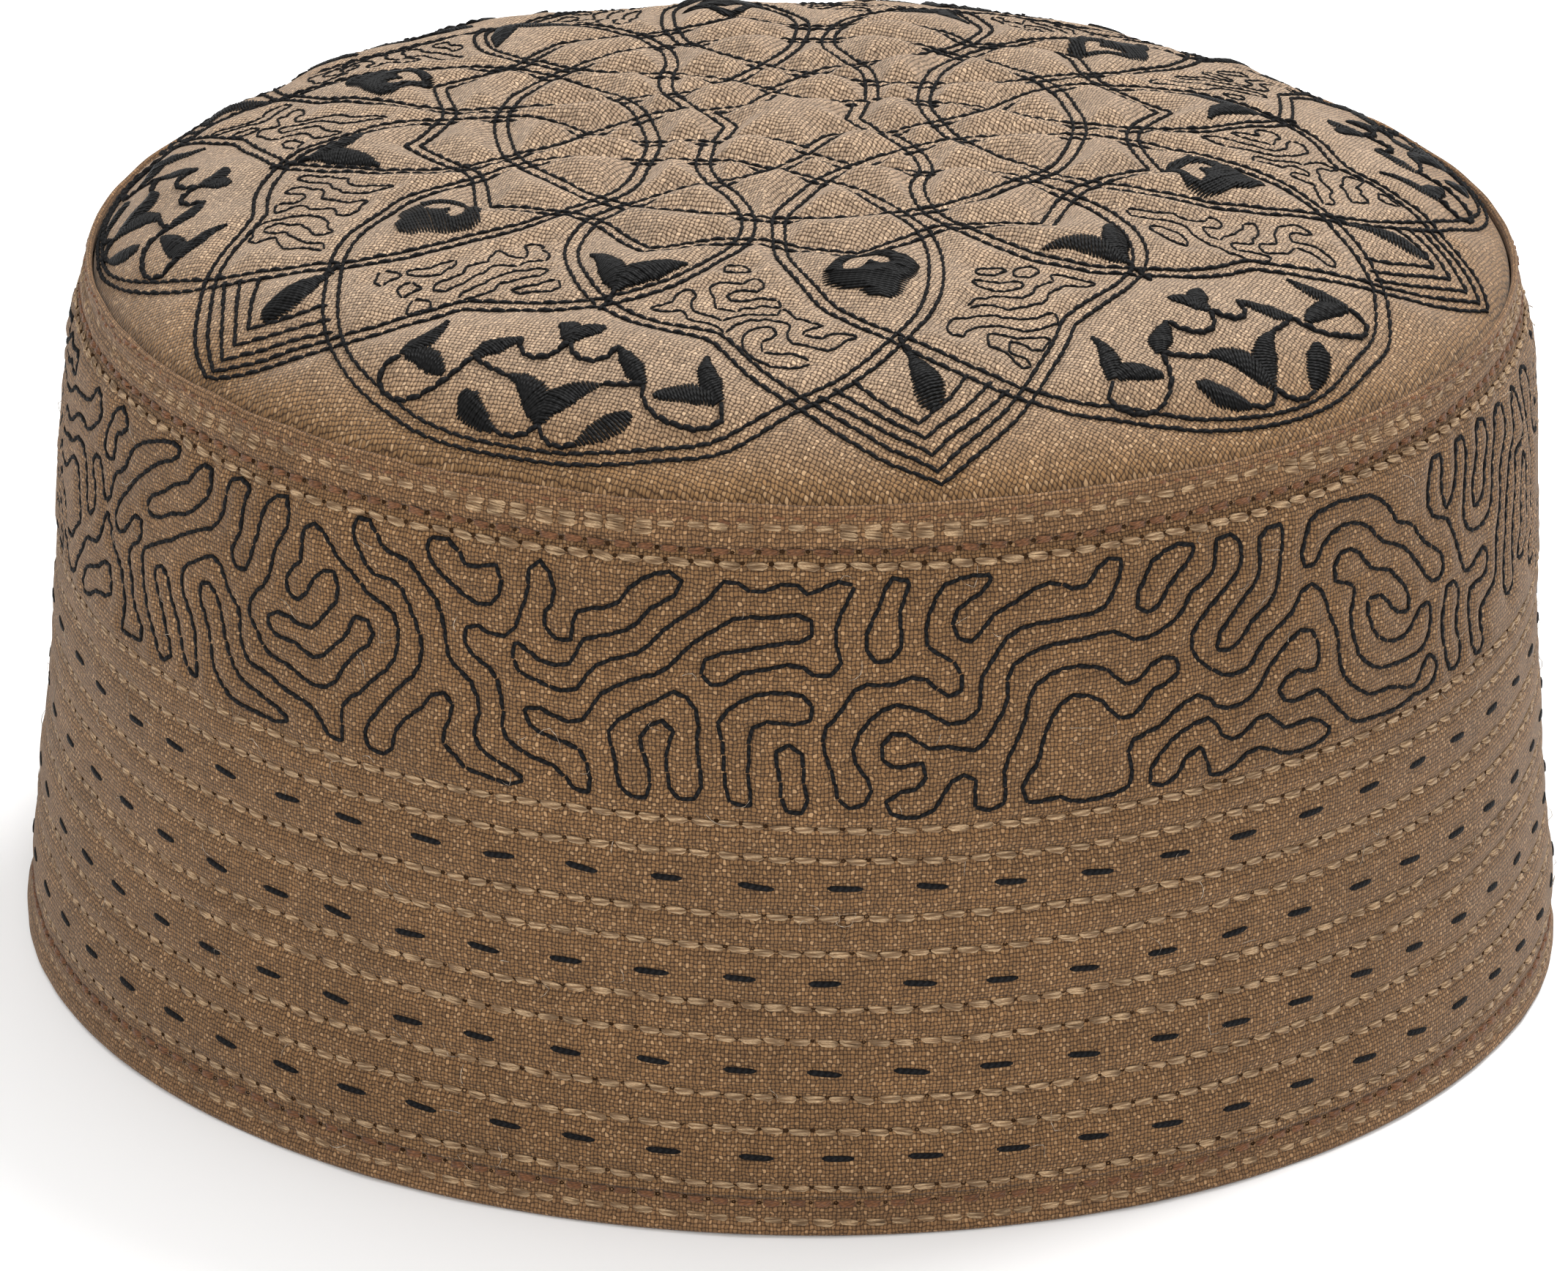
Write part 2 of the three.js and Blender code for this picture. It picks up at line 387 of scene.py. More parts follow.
def axis_places(chart, angle, mirror=False):
    """Charted points along an axis, in the plan of the crown about the rosette's centre."""
    chart = np.asarray(chart, float)
    across = -chart[:, 0] if mirror else chart[:, 0]
    outward = chart[:, 1]
    x = outward * math.cos(angle) - across * math.sin(angle)
    y = outward * math.sin(angle) + across * math.cos(angle)
    return np.stack([x, y], -1)


def on_crown(places):
    """The rosette's plan moved to its place on the crown, where it sits a little askew."""
    share = (np.linalg.norm(places, axis=1, keepdims=True) / PATTERN_RADIUS) ** 4
    moved = PATTERN_SCALE * places * (1 + PATTERN_STRETCH * share) + PATTERN_SHIFT * (1 - share)
    moved = moved + PATTERN_BEND * (places[:, :1] / PATTERN_RADIUS) ** 2
    radius = np.maximum(np.linalg.norm(moved, axis=1, keepdims=True), TINY)
    room = DRAWN_IN_LIMIT - DRAWN_IN_FROM
    over = np.maximum(radius - DRAWN_IN_FROM, 0) / room
    return moved * np.where(over > 0, (DRAWN_IN_FROM + room * np.tanh(over)) / radius, 1.0)


def hand_drawn(places, seed, amount):
    """Small wander of hand-guided lines."""
    wander = [amount * waves(places, 17, seed + axis) for axis in range(2)]
    return places + np.stack(wander, -1)


def strap(line, closed=False):
    """Both stitch lines of a strap."""
    return [(beside(line, side * STRAP_GAP / 2, closed), closed) for side in (1, -1)]


def star_outline():
    corners = []
    for turn in SIXTH_TURNS:
        corners.append(axis_places([(0, STAR["notch"])], MEDALLION_ANGLE + turn)[0])
        corners.append(axis_places([(0, STAR["point"])], TIP_ANGLE + turn)[0])
    edges = zip(corners, corners[1:] + corners[:1])
    return np.vstack([resampled(edge, CURVE_STEP)[:-1] for edge in edges])


def cusp_outline():
    count = 2 * SIXTHS * POINTS_PER_CUSP
    angles = TIP_ANGLE + np.arange(count) * math.tau / count
    share = (np.arange(count) % POINTS_PER_CUSP) / POINTS_PER_CUSP
    rise = np.abs(2 * share - 1) ** CUSPS["sharpness"]
    radius = CUSPS["hollow"] + (CUSPS["point"] - CUSPS["hollow"]) * rise
    return radius[:, None] * on_circle(angles)


def petal_outline():
    half = np.vstack([curve_through(PETAL_SIDE), curve_through(PETAL_SHOULDER)[1:]])
    line = []
    for turn in SIXTH_TURNS:
        line.append(axis_places(half[::-1], TIP_ANGLE + turn, mirror=True)[:-1])
        line.append(axis_places(half, TIP_ANGLE + turn)[:-1])
    return np.vstack(line)


def circle_line(radius, centre=(0.0, 0.0)):
    return radius * on_circle(np.linspace(0, math.tau, int(radius * 12), endpoint=False)) + centre


def settled(shape, step, wavelength, allowed, seed):
    """A gridded field that settles into winding fingers, first everywhere and then where allowed."""
    field = np.random.default_rng(seed).normal(0, 0.5, shape)
    across = np.fft.fftfreq(shape[0], step)[:, None] * wavelength
    along = np.fft.rfftfreq(shape[1], step)[None] * wavelength
    growth, pace, tilt, level_outside = 0.9, 0.5, 0.1, 0.35
    linear = growth - (1 - across**2 - along**2) ** 2
    free_rounds, held_rounds = 10, 4
    for turn in range(free_rounds + held_rounds):
        spectrum = np.fft.rfft2(field + pace * (tilt * field**2 - field**3))
        field = np.fft.irfft2(spectrum / (1 - pace * linear), shape)
        if turn >= free_rounds:
            field = field * allowed - level_outside * (1 - allowed)
    return field


def crossed_edges(inside, i, j, k):
    """The edges of a grid cell whose two ends differ, going round it."""
    edges = [(i, j, 0), (k, j, 1), (i, j + 1, 0), (i, j, 1)]
    differ = (
        inside[i, j] != inside[k, j],
        inside[k, j] != inside[k, j + 1],
        inside[i, j + 1] != inside[k, j + 1],
        inside[i, j] != inside[i, j + 1],
    )
    return [edge for edge, crossed in zip(edges, differ) if crossed]


def zero_lines(field, shortest):
    """The closed lines where a field changes sign, on a grid that wraps round in its first direction."""
    count = len(field)
    inside = field > 0
    ahead = np.roll(inside, -1, 0)
    mixed = inside[:, :-1] != ahead[:, :-1]
    mixed |= ahead[:, :-1] != ahead[:, 1:]
    mixed |= ahead[:, 1:] != inside[:, 1:]
    links = {}
    for i, j in np.argwhere(mixed).tolist():
        k = (i + 1) % count
        edges = crossed_edges(inside, i, j, k)
        pairs = [(edges[0], edges[1])]
        if len(edges) == 4:
            middle = field[i, j] + field[k, j] + field[i, j + 1] + field[k, j + 1] > 0
            pairs = [(edges[0], edges[1]), (edges[2], edges[3])]
            if middle != inside[i, j]:
                pairs = [(edges[0], edges[3]), (edges[1], edges[2])]
        for one, other in pairs:
            links.setdefault(one, []).append(other)
            links.setdefault(other, []).append(one)
    lines = []
    seen = set()
    for here in links:
        line = []
        while here is not None:
            seen.add(here)
            line.append(here)
            here = next((edge for edge in links[here] if edge not in seen), None)
        if len(line) < shortest:
            continue
        i, j, upward = np.array(line).T
        k = np.where(upward == 1, i, (i + 1) % count)
        first, second = field[i, j], field[k, j + upward]
        share = first / (first - second)
        x = np.unwrap(i + share * (1 - upward), period=count)
        lines.append(np.column_stack([x, j + share * upward]))
    return lines


def smoothed(line):
    """A closed line with its small steps evened out."""
    for _ in range(3):
        line = 0.5 * line + 0.25 * (np.roll(line, 1, 0) + np.roll(line, -1, 0))
    return line


def region_share(region, places, softness):
    """How far places lie inside a closed outline, as a soft share from 0 to 1."""
    region = np.asarray(region, float)
    inside = np.zeros(len(places), bool)
    for (x, y), (x_on, y_on) in zip(region, np.roll(region, -1, 0)):
        spans = (y > places[:, 1]) != (y_on > places[:, 1])
        if spans.any():
            meets = x + (places[:, 1] - y) * (x_on - x) / (y_on - y)
            inside ^= spans & (places[:, 0] < meets)
    edge = resampled(region, 0.3, closed=True)
    away = np.linalg.norm(places[:, None] - edge[None], axis=2).min(1)
    return 1 / (1 + np.exp(-np.where(inside, away, -away) / softness))


def fill_lines(seed):
    """Closed winding lines that fill the region beside a tip axis, in the chart's places."""
    margin = 3
    low = np.min(FILL_REGION, axis=0) - margin
    high = np.max(FILL_REGION, axis=0) + margin
    shape = tuple(int(side) for side in np.ceil((high - low) / FILL_STEP))
    grid = np.stack(np.meshgrid(np.arange(shape[0]), np.arange(shape[1]), indexing="ij"), -1)
    places = low + grid.reshape(-1, 2) * FILL_STEP
    allowed = region_share(FILL_REGION, places, 0.25).reshape(shape)
    field = settled(shape, FILL_STEP, FILL_WAVELENGTH, allowed, seed) - FILL_LEVEL
    lines = []
    for line in zero_lines(field, FILL_SHORTEST):
        line = resampled(smoothed(low + line * FILL_STEP), 0.4, closed=True)
        wriggle = np.column_stack([waves(line, 2.5, seed), waves(line, 2.5, seed + 1)])
        lines.append(line + 0.25 * wriggle)
    return lines


def rosette():
    """The crown's stitch lines in plan: straps and fine lines, each as (line, closed)."""
    straps, fine = [], []
    for outline in (star_outline(), circle_line(CENTRE_CIRCLE), cusp_outline(), petal_outline()):
        straps += strap(outline, closed=True)
    for sixth, turn in enumerate(SIXTH_TURNS):
        medallion = MEDALLION_ANGLE + turn
        tip = TIP_ANGLE + turn
        centre = axis_places([(0, CIRCLE["outward"])], medallion)[0]
        straps += strap(circle_line(CIRCLE["radius"], centre), closed=True)
        for mirror in (False, True):
            straps += strap(axis_places(curve_through(LENS_SIDE), medallion, mirror))
            for line in fill_lines(40 + 2 * sixth + mirror):
                fine.append((axis_places(line, tip, mirror), True))
        for chart in TIP_LINES:
            half = curve_through(chart)
            whole = np.vstack([half[::-1] * (-1, 1), half[1:]])
            straps.append((axis_places(whole, tip), False))
    return straps, fine


# Surfaces

def line_tree(points):
    """A search tree of points in a plane."""
    tree = KDTree(len(points))
    for index, (x, y) in enumerate(points):
        tree.insert((x, y, 0), index)
    tree.balance()
    return tree


def distances(tree, places):
    return np.array([tree.find((x, y, 0))[2] for x, y in places])


class CrownSurface:
    """The crown's upper face, pulled down along its stitch lines."""

    def __init__(self, lines):
        self.tree = line_tree(np.vstack([resampled(line, 0.4, closed) for line, closed in lines]))

    def height(self, places):
        places = np.asarray(places, float)
        radius = np.linalg.norm(places, axis=1)
        away = distances(self.tree, places)
        outside = np.clip((radius - FULL_RADIUS) / (FLAT_RADIUS - FULL_RADIUS), 0, 1)
        puff = CROWN_PUFF + (CROWN_PUFF_OUTSIDE - CROWN_PUFF) * outside
        sink = CROWN_SINK * (1 - 0.6 * outside)
        base = 0.55 + 0.3 * (1 - outside)
        relief = puff * (base - bell(away, CROWN_PUFF_REACH)) - sink * bell(away, CROWN_REACH)
        soft = 0.22 * waves(places, 19, 301) + 0.06 * waves(places, 6, 302)
        edge = np.clip((CROWN_RADIUS - radius) / EDGE_FADE, 0, 1)
        roll = ROLL_DEPTH * np.clip((radius - CROWN_RADIUS + ROLL_WIDTH) / ROLL_WIDTH, 0, 1) ** 2.5
        return crown_height(places) + (relief + soft) * edge - roll

    def points(self, places):
        return np.column_stack([places, self.height(places)])

    def normals(self, places):
        step = 0.6
        slope_x = (self.height(places + (step, 0)) - self.height(places - (step, 0))) / (2 * step)
        slope_y = (self.height(places + (0, step)) - self.height(places - (0, step))) / (2 * step)
        return unit(np.column_stack([-slope_x, -slope_y, np.ones(len(places))]))


def row_step(angle, share):
    """The rows step down just left of the middle of the front, less so near the seam."""
    fade = np.clip((0.9 - share) / 0.3, 0, 1)
    left = (1.1 - 0.3 * share) * fade * np.clip((angle + 2.0) / 0.5, 0, 1)
    right = -0.95 * share * (0.4 + 0.6 * fade) * np.clip((1.05 - angle) / 0.35, 0, 1)
    return left + (right - left) * (0.5 + 0.5 * np.tanh((angle + 0.06) / 0.16))


def row_wander(angle, share, seed):
    """How far a stitch row strays up and down round the cap."""
    circle = 30 * on_circle(angle)
    return row_step(angle, share) + 0.3 * waves(circle, 46, 77) + 0.14 * waves(circle, 21, seed)


class SideSurface:
    """The side's outer face, pulled in along its stitch rows and its winding line.
    Places on it are angles with heights, or rows of (distance round, height)."""

    def __init__(self, maze):
        points = np.vstack([resampled(line, 0.5, closed=True) for line in maze])
        points = np.vstack([points, points - (SIDE_TURN, 0), points + (SIDE_TURN, 0)])
        overlap = 8
        self.tree = line_tree(points[np.abs(points[:, 0]) < SIDE_TURN / 2 + overlap])

    def relief(self, angle, height):
        relief = np.zeros(len(angle))
        for index, share in enumerate(TAN_ROWS.values()):
            away = height - share * SIDE_HEIGHT - row_wander(angle, share, index)
            relief -= ROW_SINK * bell(away, ROW_REACH)
        for index, share in enumerate(RUST_ROWS.values()):
            away = height - share * SIDE_HEIGHT - row_wander(angle, share, RUST_SEED + index)
            relief -= RUST_SINK * bell(away, RUST_REACH)
        share = height / SIDE_HEIGHT
        in_maze = (share > MAZE_LOW - 0.02) & (share < MAZE_HIGH + 0.02)
        if in_maze.any():
            away = distances(self.tree, np.column_stack([angle * MIDDLE_RADIUS, height])[in_maze])
            relief[in_maze] += MAZE_PUFF * (1 - bell(away, MAZE_PUFF_REACH))
            relief[in_maze] -= MAZE_SINK * bell(away, MAZE_REACH)
        circle = np.column_stack([90 * np.sin(angle), 90 * np.cos(angle), height])
        return relief + 0.16 * waves(circle, 24, 401) + 0.05 * waves(circle, 7, 402)

    def points(self, angle, height, lift=0.0):
        radius = side_radius(height) + self.relief(angle, height) + lift
        return np.column_stack([radius * np.sin(angle), -radius * np.cos(angle), height])

    def points_at(self, places):
        return self.points(places[:, 0] / MIDDLE_RADIUS, places[:, 1])

    def normals_at(self, places):
        angle, height = places[:, 0] / MIDDLE_RADIUS, places[:, 1]
        step = 0.8
        slope = (side_radius(height + step) - side_radius(height - step)) / (2 * step)
        return unit(np.column_stack([np.sin(angle), -np.cos(angle), -slope]))


# Meshes

def added(name, data):
    made = bpy.data.objects.new(name, data)
    bpy.context.scene.collection.objects.link(made)
    return made


def mesh_object(name, points, polygons, uv=None):
    """A smooth mesh from points in millimetres and arrays of polygons, one array for each size."""
    mesh = bpy.data.meshes.new(name)
    points = hand_made(points) * MM
    mesh.vertices.add(len(points))
    mesh.vertices.foreach_set("co", points.astype(np.float32).ravel())
    corners = np.concatenate([array.ravel() for array in polygons]).astype(np.int32)
    sizes = np.concatenate([np.full(len(array), array.shape[1]) for array in polygons])
    starts = np.concatenate([[0], np.cumsum(sizes)[:-1]]).astype(np.int32)
    mesh.loops.add(len(corners))
    mesh.loops.foreach_set("vertex_index", corners)
    mesh.polygons.add(len(sizes))
    mesh.polygons.foreach_set("loop_start", starts)
    mesh.polygons.foreach_set("use_smooth", np.ones(len(sizes), bool))
    if uv is not None:
        layer = mesh.uv_layers.new(name="UVMap")
        layer.data.foreach_set("uv", uv[corners].astype(np.float32).ravel())
    mesh.update(calc_edges=True)
    mesh.validate()
    return added(name, mesh)


def ring_polygons(rows, columns):
    """Quads of a closed tube of rows that each go round in columns."""
    row = np.arange(rows)[:, None]
    column = np.arange(columns)[None]
    following = (column + 1) % columns
    above = ((row + 1) % rows) * columns
    corners = [row * columns + column, row * columns + following, above + following, above + column]
    return np.stack(corners, -1).reshape(-1, 4)


def ring_object(name, rows):
    """A closed ring from rows of points round the cap. Its map tells the way up the cloth."""
    steps = [np.linalg.norm(row - before, axis=1).mean() for row, before in zip(rows[1:], rows)]
    up = np.repeat(np.concatenate([[0], np.cumsum(steps)]), AROUND)
    polygons = [ring_polygons(len(rows), AROUND)]
    return mesh_object(name, np.vstack(rows), polygons, np.column_stack([0 * up, up]))


ANGLES = -math.pi + np.arange(AROUND) * math.tau / AROUND


def circle_row(radius, height):
    return np.column_stack([radius * np.sin(ANGLES), -radius * np.cos(ANGLES), np.full(AROUND, height)])


def cloth_row(surface, height, lift=0.0):
    return surface.points(ANGLES, np.full(AROUND, height), lift)


def make_side_band(surface):
    top = SIDE_HEIGHT - CROWN_WALL - CLEARANCE
    shown_low = HEM_STRIP_WIDTH + 0.02
    shown_high = SIDE_HEIGHT - SEAM_STRIP_WIDTH - 0.02
    dip = 0.15
    rows = [
        circle_row(side_radius(STRIP_SEAT) - STRIP_SEAT, STRIP_SEAT),
        circle_row(side_radius(shown_low) - STRIP_SEAT, shown_low - dip),
    ]
    rows += [cloth_row(surface, height) for height in np.linspace(shown_low, shown_high, SIDE_ROWS)]
    rows.append(circle_row(side_radius(shown_high) - STRIP_SEAT, shown_high + dip))
    rows.append(circle_row(side_radius(top) - STRIP_SEAT, top))
    for height in np.linspace(top, STRIP_SEAT, 9):
        rows.append(circle_row(side_radius(height) - SIDE_WALL, height))
    return ring_object("side_cloth", rows)


def make_seam_strip(surface):
    foot = SIDE_HEIGHT - SEAM_STRIP_WIDTH
    lip = 0.75
    rows = [circle_row(side_radius(foot) - STRIP_WALL, foot)]
    for height in np.linspace(foot, SIDE_HEIGHT - lip, 11):
        rows.append(cloth_row(surface, height, 0.15 * min((height - foot) / 1.5, 1)))
    half = (side_radius(SIDE_HEIGHT - lip) + 0.1 - LIP_RADIUS) / 2
    for turn in np.radians([25, 55, 90, 125, 155, 180]):
        row = circle_row(LIP_RADIUS + half + half * math.cos(turn), 0.0)
        row[:, 2] = SIDE_HEIGHT - lip + (lip + 0.25) * math.sin(turn) + 0.1 * waves(row[:, :2], 14, 61)
        rows.append(row)
    foot += 1.2
    rows.append(circle_row(side_radius(foot) - STRIP_WALL, foot))
    return ring_object("seam_fold", rows)


def make_hem_strip(surface):
    top = HEM_STRIP_WIDTH
    rim = side_radius(0)
    rows = [
        circle_row(side_radius(STRIP_WALL) - SIDE_WALL, STRIP_WALL),
        circle_row(rim - SIDE_WALL, 0.25),
        circle_row(rim - SIDE_WALL + 0.3, 0.0),
        circle_row(rim - 0.75, 0.0),
        circle_row(rim - 0.25, 0.2),
    ]
    for height in np.linspace(0.6, top, 9):
        rows.append(cloth_row(surface, height, 0.1 * min((top - height) / 1.5, 1)))
    rows.append(circle_row(side_radius(top) - STRIP_WALL, top))
    rows.append(circle_row(side_radius(STRIP_WALL) - STRIP_WALL, STRIP_WALL))
    return ring_object("hem_fold", rows)


def crown_weave(places):
    """Where points of the crown lie on its cloth when it is laid flat, in millimetres."""
    reach = np.linspace(0, CROWN_RADIUS, 200)
    rise = crown_height(np.column_stack([reach * 0, reach]))
    along = distance_along(np.column_stack([reach, rise]))
    radius = np.maximum(np.linalg.norm(places, axis=1), TINY)
    return places * (np.interp(radius, reach, along) / radius)[:, None]


def make_crown(surface):
    """The crown: rings of 6, 12, 18 ... points on its upper face, a rolled edge and a plain underside."""
    rings = int(CROWN_RADIUS / CROWN_STEP)
    places = [np.zeros((1, 2))]
    for ring in range(1, rings + 1):
        radius = (CROWN_RADIUS - 0.1) * ring / rings
        places.append(radius * on_circle(np.arange(6 * ring) * math.tau / (6 * ring)))
    starts = np.cumsum([0] + [len(ring) for ring in places])
    points = [surface.points(np.vstack(places))]
    triangles = []
    for ring in range(1, rings + 1):
        outer = np.arange(6 * ring)
        inner_count = max(1, 6 * (ring - 1))
        side, place = np.divmod(outer, ring)
        inner = (side * (ring - 1) + place) % inner_count
        here, following = starts[ring] + outer, starts[ring] + (outer + 1) % (6 * ring)
        within = starts[ring - 1]
        triangles.append(np.column_stack([here, following, within + inner]))
        more = np.column_stack([within + inner, following, within + (inner + 1) % inner_count])
        triangles.append(more[place < ring - 1])
    count = 6 * rings
    circle = on_circle(np.arange(count) * math.tau / count)
    profile = [(CROWN_RADIUS - 0.05, 1.0), (CROWN_RADIUS, 1.6), (CROWN_RADIUS - 0.1, CROWN_WALL - 0.2)]
    profile += [(CROWN_RADIUS * share, CROWN_WALL) for share in (0.98, 0.8, 0.6, 0.4, 0.2)]
    quads = []
    last, total = starts[rings], starts[rings + 1]
    here = np.arange(count)
    following = (here + 1) % count
    for radius, drop in profile:
        ring = radius * circle
        points.append(np.column_stack([ring, crown_height(ring) - drop]))
        quads.append(np.column_stack([last + here, total + here, total + following, last + following]))
        last = total
        total += count
    points.append(np.array([[0, 0, float(crown_height((0, 0))) - CROWN_WALL]]))
    triangles.append(np.column_stack([last + here, np.full(count, total), last + following]))
    points = np.vstack(points)
    polygons = [np.vstack(triangles), np.vstack(quads)]
    return mesh_object("crown_cloth", points, polygons, crown_weave(points[:, :2]))


# Threads

DEFAULT_FATNESS = (0.35, 0.92, 1.0, 0.92, 0.35)
THREAD_DIVE = 0.5


def strands(name, path, normals, radius, lift, sides=4, fatness=DEFAULT_FATNESS):
    """Short threads along a path, a function of the share of its length. Each bulges out of the cloth
    and dives into it at both ends."""
    way = path(1.0) - path(0.0)
    count = len(way)
    radius = np.broadcast_to(np.asarray(radius, float), count)
    lift = np.broadcast_to(np.asarray(lift, float), count)
    stations = len(fatness)
    share = 0.5 - 0.5 * np.cos(np.linspace(0, 1, stations) * math.pi)
    length = np.linalg.norm(way, axis=1)
    way = unit(way)
    across = unit(np.cross(normals, way))
    up = np.cross(way, across)
    arch = np.sin(share * math.pi) ** 0.7
    points = np.zeros((count, stations, sides, 3))
    uv = np.zeros((count, stations, sides, 2))
    for station in range(stations):
        rise = radius * (lift * arch[station] - THREAD_DIVE * (1 - arch[station]))
        centre = path(share[station]) + up * rise[:, None]
        for side in range(sides):
            turn = math.tau * (side + 0.5) / sides
            girth = (radius * fatness[station])[:, None]
            points[:, station, side] = centre + girth * (math.cos(turn) * across + math.sin(turn) * up)
            uv[:, station, side, 0] = length * share[station]
            uv[:, station, side, 1] = side / sides
    uv[..., 0] += (np.arange(count) * 3.7 % 50)[:, None, None]
    base = np.arange(count)[:, None] * stations * sides
    station = base[:, :, None] + np.arange(stations - 1)[None, :, None] * sides
    side = np.arange(sides)
    following = (side + 1) % sides
    quads = np.stack([station + side, station + following,
                      station + sides + following, station + sides + side], -1)
    first = base + side
    last = base + (stations - 1) * sides + side[::-1]
    polygons = [quads.reshape(-1, 4)[:, ::-1], first, last]
    return mesh_object(name, points.reshape(-1, 3), polygons, uv.reshape(-1, 2))


def stitch_ends(line, closed, length, slant, overlap):
    """Starts and ends of stitches along a line in a plane, corner to corner."""
    starts, ends = [], []
    for run in runs(line, closed):
        along = distance_along(run)
        if along[-1] < SHORTEST_RUN:
            continue
        count = max(1, int(round(along[-1] / length)))
        at = np.linspace(0, along[-1], count + 1)
        at[1:-1] += random.uniform(-0.1, 0.1, count - 1) * length
        marks = at_distances(at, along, run)
        way = unit(np.diff(marks, axis=0))
        across = left_of(way)
        starts.append(marks[:-1] + across * slant - way * overlap)
        ends.append(marks[1:] - across * slant + way * overlap)
    return np.vstack(starts), np.vstack(ends)


def stitched(lines, length, slant, overlap):
    """Stitch ends along many lines, each given as (line, closed)."""
    pairs = [stitch_ends(line, closed, length, slant, overlap) for line, closed in lines]
    return np.vstack([pair[0] for pair in pairs]), np.vstack([pair[1] for pair in pairs])


def crown_threads(name, surface, starts, ends, radius, lift, **shape):
    normals = surface.normals((starts + ends) / 2)
    return strands(name, lambda share: surface.points(starts + share * (ends - starts)),
                   normals, radius, lift, **shape)


def crown_stitches(name, surface, lines, length, radius, slant):
    starts, ends = stitched(lines, length, slant, 0.16)
    farthest = np.maximum(np.linalg.norm(starts, axis=1), np.linalg.norm(ends, axis=1))
    inside = farthest < CROWN_RADIUS - 0.1
    starts, ends = starts[inside], ends[inside]
    size = radius * random.uniform(0.88, 1.12, len(starts))
    return crown_threads(name, surface, starts, ends, size, random.uniform(0.55, 0.95, len(starts)))


def side_threads(name, surface, starts, ends, radius, lift, bow=0.0, **shape):
    """Threads on the side, from places given as (distance round, height). A bow curves them upward."""

    def path(share):
        places = starts + share * (ends - starts)
        places[:, 1] += bow * math.sin(math.pi * share)
        return surface.points_at(places)

    return strands(name, path, surface.normals_at((starts + ends) / 2), radius, lift, **shape)


def make_maze():
    """The closed winding lines round the side, as (distance round, height)."""
    step = SIDE_TURN / MAZE_COLUMNS
    low, high = MAZE_LOW * SIDE_HEIGHT, MAZE_HIGH * SIDE_HEIGHT
    margin = 4.0
    height = np.arange(low - margin, high + margin, step)
    allowed = 1 / (1 + np.exp(-np.minimum(height - low, high - height) / 0.35))
    shape = (MAZE_COLUMNS, len(height))
    field = settled(shape, step, MAZE_WAVELENGTH, np.tile(allowed, (MAZE_COLUMNS, 1)), 5)
    lines = []
    for line in zero_lines(field, MAZE_SHORTEST):
        line = resampled(smoothed(line) * step + (-SIDE_TURN / 2, low - margin), 0.5, closed=True)
        wander = 0.26 * np.column_stack([waves(line, 6, 601), waves(line, 6, 602)])
        wander[:, 1] += row_step(line[:, 0] / MIDDLE_RADIUS, line[:, 1] / SIDE_HEIGHT)
        lines.append(line + wander)
    return lines


# Satin leaves

def filled(outline, hole, places):
    """Threads that fill a charted outline all but its hole: starts and ends in plan, and their rise."""
    cosine, sine = math.cos(HEART_SLANT), math.sin(HEART_SLANT)
    turn = np.array([[cosine, -sine], [sine, cosine]])
    rings = [np.asarray(ring, float) @ turn for ring in (outline, hole)]
    starts, ends = [], []
    for level in np.arange(rings[0][:, 1].min() + 0.1, rings[0][:, 1].max(), SATIN_SPACING):
        crossings = []
        for ring in rings:
            ahead = np.roll(ring, -1, 0)
            meets = (ring[:, 1] > level) != (ahead[:, 1] > level)
            share = (level - ring[meets, 1]) / (ahead[meets, 1] - ring[meets, 1])
            crossings.extend(ring[meets, 0] + share * (ahead[meets, 0] - ring[meets, 0]))
        crossings.sort()
        for left, right in zip(crossings[::2], crossings[1::2]):
            starts.append((left - 0.1, level))
            ends.append((right + 0.1, level))
    starts, ends = np.array(starts) @ turn.T, np.array(ends) @ turn.T
    rise = 0.6 + 0.12 * np.minimum(np.linalg.norm(ends - starts, axis=1), 4)
    return places(starts), places(ends), rise


def satin(leaves, places):
    """Threads laid across charted leaves: starts and ends in plan, and how high each stands."""
    starts, ends, rises = [], [], []
    for leaf in leaves:
        leaf = np.asarray(leaf, float)
        along = distance_along(leaf[:, :2])
        at = np.arange(SATIN_SPACING / 2, along[-1], SATIN_SPACING)
        middle = smooth_line(at, along, leaf)
        half = SATIN_FULLNESS * np.maximum(np.interp(at, along, leaf[:, 2]), 0.2)
        way = unit(np.gradient(middle, axis=0))
        across = unit(left_of(way) + 0.35 * way)
        ragged = half[:, None] + random.uniform(-0.08, 0.12, (len(half), 1))
        starts.append(places(middle - across * ragged))
        ends.append(places(middle + across * ragged))
        rises.append(0.5 + 0.35 * half)
    return np.vstack(starts), np.vstack(ends), np.concatenate(rises)


def plant_places(chart, sixth, medallion):
    """Charted plants of one sixth. Those in a medallion are moved outward and drawn together."""
    if medallion:
        chart = chart * (1, 0.95) + (0, 5.2)
    angle = (MEDALLION_ANGLE if medallion else TIP_ANGLE) + SIXTH_TURNS[sixth]
    return on_crown(hand_drawn(axis_places(chart, angle), 700 + 10 * sixth, 0.22))


def crown_leaves(surface):
    groups = []
    for sixth in range(SIXTHS):
        at_tip = partial(plant_places, sixth=sixth, medallion=False)
        groups.append(satin(TIP_LEAVES, at_tip))
        groups.append(filled(HEART, HEART_HOLE, at_tip))
        groups.append(satin(MEDALLION_LEAVES, partial(plant_places, sixth=sixth, medallion=True)))
    starts, ends, rises = (np.concatenate(parts) for parts in zip(*groups))
    rises *= random.uniform(0.85, 1.15, len(starts))
    radii = random.uniform(0.19, 0.23, len(starts))
    return crown_threads("satin_leaves", surface, starts, ends, radii, rises,
                         fatness=(0.7, 1.0, 1.05, 1.0, 0.7))


